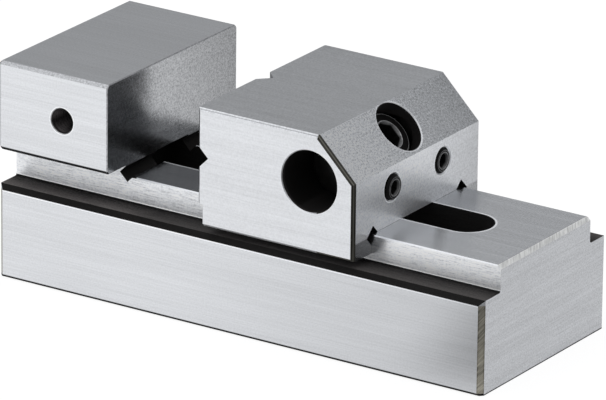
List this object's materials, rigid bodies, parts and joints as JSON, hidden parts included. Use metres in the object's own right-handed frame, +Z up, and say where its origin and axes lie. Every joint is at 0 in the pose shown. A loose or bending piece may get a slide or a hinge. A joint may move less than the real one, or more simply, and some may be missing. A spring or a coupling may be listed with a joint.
{
  "type": "precision grinding vise",
  "caption": "Low ground-steel precision vise: long base with fixed jaw, sliding jaw with crossed V grooves, slanted pull-down clamp screw and notched underside.",
  "frame": {"origin": "centre of the base's underside, which is the bottom centre of the bounding box", "axes": "+X along the bed from the fixed jaw to the open end, +Z up, -Y the side seen in the picture, with the near work-stop thread"},
  "size_m": [0.175, 0.07, 0.07],
  "materials": {
    "ground_steel": "surface ground, fine lengthwise lines",
    "hardened_steel": "turned and hardened, unpolished",
    "black_oxide": "black oxide, light oil",
    "spring_steel": "drawn wire"
  },
  "bodies": {
    "base": {"vise_body": "ground_steel"},
    "jaw": {"movable_jaw": "ground_steel", "barrel_set_screws": "black_oxide"},
    "barrel": {"pivot_barrel": "hardened_steel", "thrust_washer": "hardened_steel", "release_spring": "spring_steel"},
    "screw": {"clamp_screw": "black_oxide", "nut_stop_ring": "spring_steel"},
    "nut": {"pull_nut": "hardened_steel"}
  },
  "joints": [
    {"name": "jaw_slide", "type": "slide", "parent": "base", "child": "jaw", "axis": [1, 0, 0], "range_m": [-0.0328, 0.044]},
    {"name": "barrel_swivel", "type": "hinge", "parent": "jaw", "child": "barrel", "pos_m": [0.026, 0, 0.0548], "axis": [0, 1, 0], "range_deg": [-2, 2]},
    {"name": "clamp_screw_turn", "type": "hinge", "parent": "barrel", "child": "screw", "pos_m": [0.026, 0, 0.0548], "axis": [-0.7071, 0, -0.7071], "range_deg": [0, 1440]},
    {"name": "pull_nut_draw", "type": "slide", "parent": "barrel", "child": "nut", "axis": [0.7071, 0, 0.7071], "range_m": [0, 0.006], "deforming": ["release_spring"]}
  ],
  "couplings": [
    {"joint": "pull_nut_draw", "follows": "clamp_screw_turn", "m_per_rad": 0.00023873}
  ]
}
